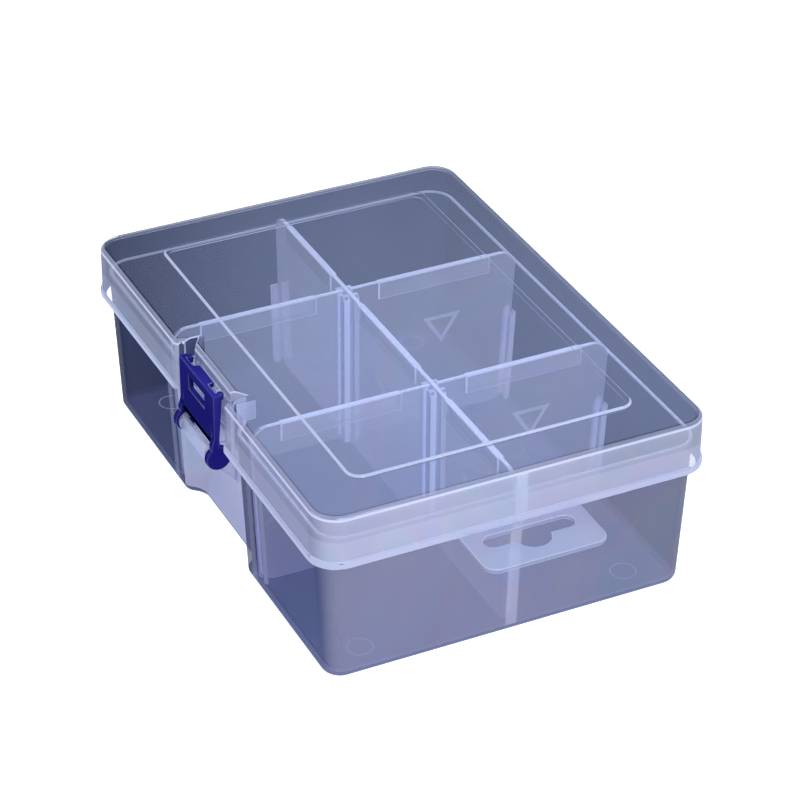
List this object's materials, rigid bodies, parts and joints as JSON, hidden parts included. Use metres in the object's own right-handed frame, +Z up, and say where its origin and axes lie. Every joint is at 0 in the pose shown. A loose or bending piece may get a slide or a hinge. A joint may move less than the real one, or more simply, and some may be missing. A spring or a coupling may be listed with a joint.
{
  "type": "bead organizer box",
  "caption": "Clear hinged-lid box with a front snap latch, an end hang tab and lift-out dividers that make compartments for beads and small craft parts.",
  "frame": {"origin": "centre of the tray's underside, on the surface that the box stands on", "axes": "+X along the box towards the end with the hang tab, +Y towards the hinges at the back, so the latch is at -Y, and +Z up"},
  "size_m": [0.1815, 0.1259, 0.0566],
  "materials": {
    "clear_tray": "clear polypropylene, slightly milky, glossy",
    "clear_lid": "clear polypropylene, slightly milky, glossy",
    "clear_divider": "clear polypropylene, slightly milky, satin gloss",
    "blue_latch": "opaque dark blue, glossy, moulded"
  },
  "bodies": {
    "tray": {"base_tray": "clear_tray", "long_divider": "clear_divider", "short_divider_back_left": "clear_divider", "short_divider_back_right": "clear_divider", "short_divider_front_left": "clear_divider", "short_divider_front_right": "clear_divider"},
    "lid": {"lid": "clear_lid"},
    "latch": {"latch": "blue_latch"}
  },
  "joints": [
    {"name": "lid_hinge", "type": "hinge", "parent": "tray", "child": "lid", "pos_m": [0, 0.0612, 0.0382], "axis": [-1, 0, 0], "range_deg": [0, 180]},
    {"name": "latch_hinge", "type": "hinge", "parent": "tray", "child": "latch", "pos_m": [0, -0.0582, 0.034], "axis": [1, 0, 0], "range_deg": [0, 150]}
  ]
}
